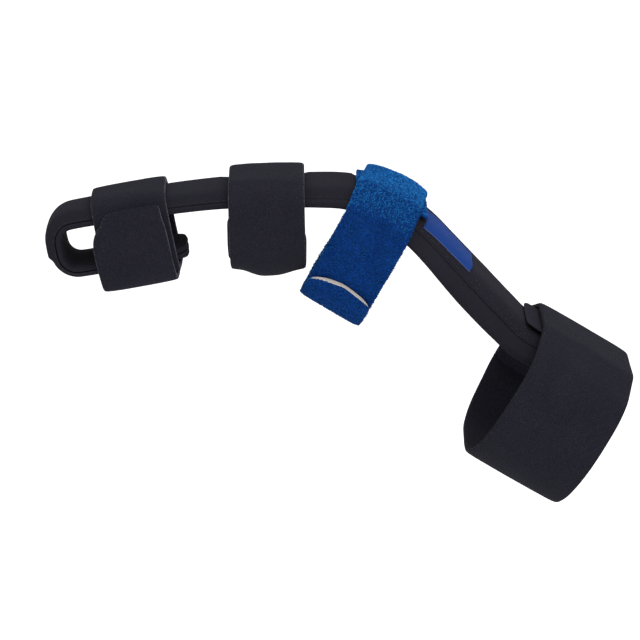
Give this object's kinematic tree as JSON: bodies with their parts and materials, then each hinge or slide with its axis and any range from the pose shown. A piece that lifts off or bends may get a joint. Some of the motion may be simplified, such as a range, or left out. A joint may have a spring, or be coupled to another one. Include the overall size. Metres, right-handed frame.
{
  "type": "finger orthosis",
  "caption": "Padded splint from the back of the wrist along one finger, looped round the fingertip, with wrapped finger, knuckle and wrist straps.",
  "frame": {"origin": "underside of the padding at the middle of the stretch that lies on the back of the hand", "axes": "+X from the fingertip to the elbow, +Y to the little finger side, +Z away from the back of the finger"},
  "size_m": [0.1938, 0.0697, 0.1116],
  "materials": {
    "black_foam": "fabric-faced foam",
    "black_laminate": "matt knitted facing",
    "black_velour": "short black loop pile",
    "blue_velour": "blue loop pile",
    "blue_label": "woven satin"
  },
  "bodies": {
    "root": {"splint_pad": "black_foam", "stay_sleeve": "black_laminate", "fingertip_strap": "black_velour", "middle_strap": "black_velour", "knuckle_strap": "blue_velour", "wrist_strap": "black_velour", "knuckle_patch": "blue_velour", "wrist_patch": "black_velour", "woven_label": "blue_label"}
  },
  "joints": []
}
